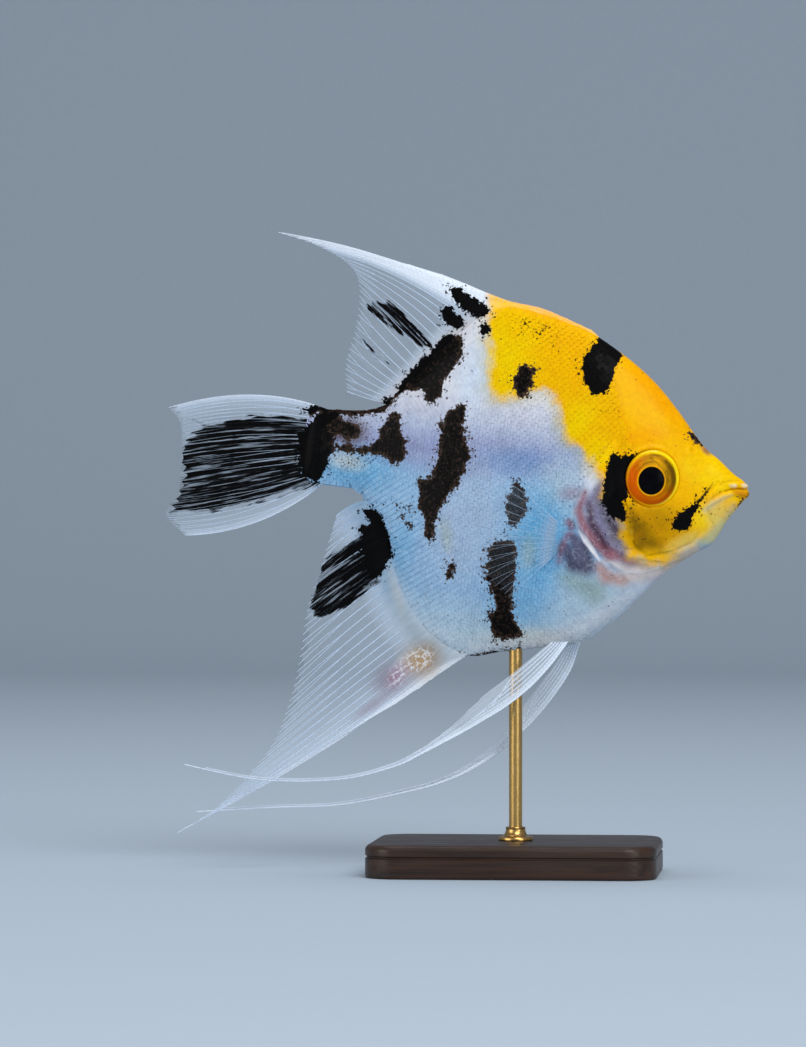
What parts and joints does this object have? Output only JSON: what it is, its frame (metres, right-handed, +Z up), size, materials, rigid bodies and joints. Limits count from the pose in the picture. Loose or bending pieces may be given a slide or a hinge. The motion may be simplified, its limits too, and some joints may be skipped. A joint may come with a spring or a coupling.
{
  "type": "freshwater angelfish",
  "caption": "Deep, flat-sided angelfish with swept fins and long feelers, white with a yellow head and black blotches, on a rod stand.",
  "frame": {"origin": "centre of the stand's underside, below the rod", "axes": "+X towards the snout, +Y towards the fish's left side, +Z up"},
  "size_m": [0.1055, 0.036, 0.116],
  "materials": {
    "pearl_skin": "silky, pearly",
    "yellow_skin": "silky",
    "gill_skin": "wet, translucent",
    "fin_web": "clear web between pale rays",
    "tail_web": "black web between pale rays",
    "eye": "polished",
    "dark_wood": "satin varnish",
    "brass": "satin"
  },
  "bodies": {
    "root": {"head": "yellow_skin", "upper_jaw": "yellow_skin", "lower_jaw": "yellow_skin", "gill_cover_left": "gill_skin", "gill_cover_right": "gill_skin", "trunk": "pearl_skin", "tail_stalk": "pearl_skin", "dorsal_fin": "fin_web", "anal_fin": "fin_web", "pectoral_fin_left": "fin_web", "pectoral_fin_right": "fin_web", "pelvic_fin_left": "fin_web", "pelvic_fin_right": "fin_web", "tail_fin": "tail_web", "eye_left": "eye", "eye_right": "eye", "stand_foot": "dark_wood", "stand_collar": "brass", "stand_rod": "brass"}
  },
  "joints": []
}
